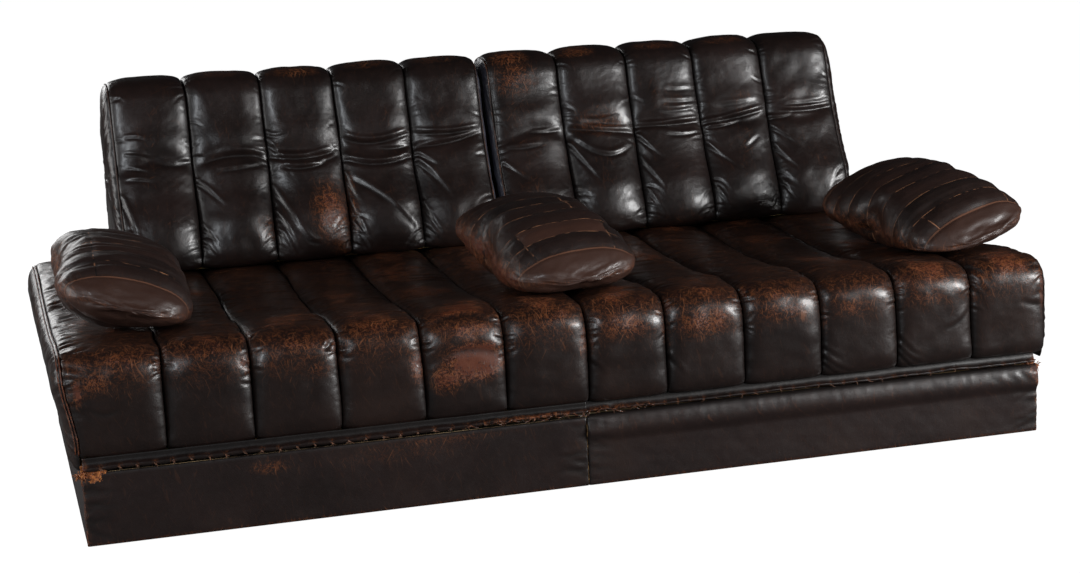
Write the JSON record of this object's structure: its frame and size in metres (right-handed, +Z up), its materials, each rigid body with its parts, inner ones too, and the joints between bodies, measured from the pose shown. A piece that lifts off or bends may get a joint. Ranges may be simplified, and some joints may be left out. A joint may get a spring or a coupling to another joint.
{
  "type": "worn leather day-bed sofa",
  "caption": "Low day-bed sofa: channelled leather mattress laced to a plinth base, loose wedge back cushions and patchwork pillows, all worn.",
  "frame": {"origin": "on the floor under the middle of the whole sofa", "axes": "+X along the length, to a facing viewer's right; the front faces -Y; +Z up"},
  "size_m": [2.04, 1, 0.791],
  "materials": {
    "frame_wood": "sawn softwood and plywood, hidden inside the base",
    "deck_ply": "plywood, hidden under the mattress",
    "base_leather": "dark brown pigmented cowhide, satin, scuffed with rust-coloured scratches",
    "glide_plastic": "moulded black plastic",
    "lining_cloth": "black woven lining cloth",
    "band_leather": "dark brown leather edge laced with a thong, frayed to rust",
    "foam": "aged upholstery foam, hidden inside the covers",
    "seat_leather": "dark brown cowhide, semi-gloss, creased, worn through to rust on the front edges",
    "back_leather": "dark brown cowhide, semi-gloss, creased, a few rubbed patches",
    "pillow_leather": "patchwork of brown cowhide strips, semi-gloss, rubbed at the seams"
  },
  "bodies": {
    "root": {"base_front_board": "frame_wood", "base_rear_board": "frame_wood", "base_left_board": "frame_wood", "base_right_board": "frame_wood", "base_centre_rail": "frame_wood", "corner_block_front_left": "frame_wood", "corner_block_rear_left": "frame_wood", "corner_block_front_right": "frame_wood", "corner_block_rear_right": "frame_wood", "deck_panel_left": "deck_ply", "deck_panel_right": "deck_ply", "base_cover_front_left": "base_leather", "base_cover_front_right": "base_leather", "base_cover_left": "base_leather", "base_cover_right": "base_leather", "base_cover_rear": "base_leather", "glide_front_left": "glide_plastic", "glide_rear_left": "glide_plastic", "glide_front_right": "glide_plastic", "glide_rear_right": "glide_plastic", "dust_cloth": "lining_cloth", "mattress_underside": "lining_cloth", "laced_band_left": "band_leather", "laced_band_right": "band_leather", "mattress_foam": "foam", "back_left_foam": "foam", "back_right_foam": "foam", "seat_channel_01": "seat_leather", "seat_channel_02": "seat_leather", "seat_channel_03": "seat_leather", "seat_channel_04": "seat_leather", "seat_channel_05": "seat_leather", "seat_channel_06": "seat_leather", "seat_channel_07": "seat_leather", "seat_channel_08": "seat_leather", "seat_channel_09": "seat_leather", "seat_channel_10": "seat_leather", "seat_channel_11": "seat_leather", "seat_channel_12": "seat_leather", "mattress_end_left": "seat_leather", "mattress_end_right": "seat_leather", "back_left_channel_1": "back_leather", "back_left_channel_2": "back_leather", "back_left_channel_3": "back_leather", "back_left_channel_4": "back_leather", "back_left_channel_5": "back_leather", "back_left_gusset_left": "back_leather", "back_left_gusset_right": "back_leather", "back_left_rear_panel": "back_leather", "back_right_channel_1": "back_leather", "back_right_channel_2": "back_leather", "back_right_channel_3": "back_leather", "back_right_channel_4": "back_leather", "back_right_channel_5": "back_leather", "back_right_gusset_left": "back_leather", "back_right_gusset_right": "back_leather", "back_right_rear_panel": "back_leather", "pillow_left": "pillow_leather", "pillow_middle": "pillow_leather", "pillow_right": "pillow_leather"}
  },
  "joints": []
}
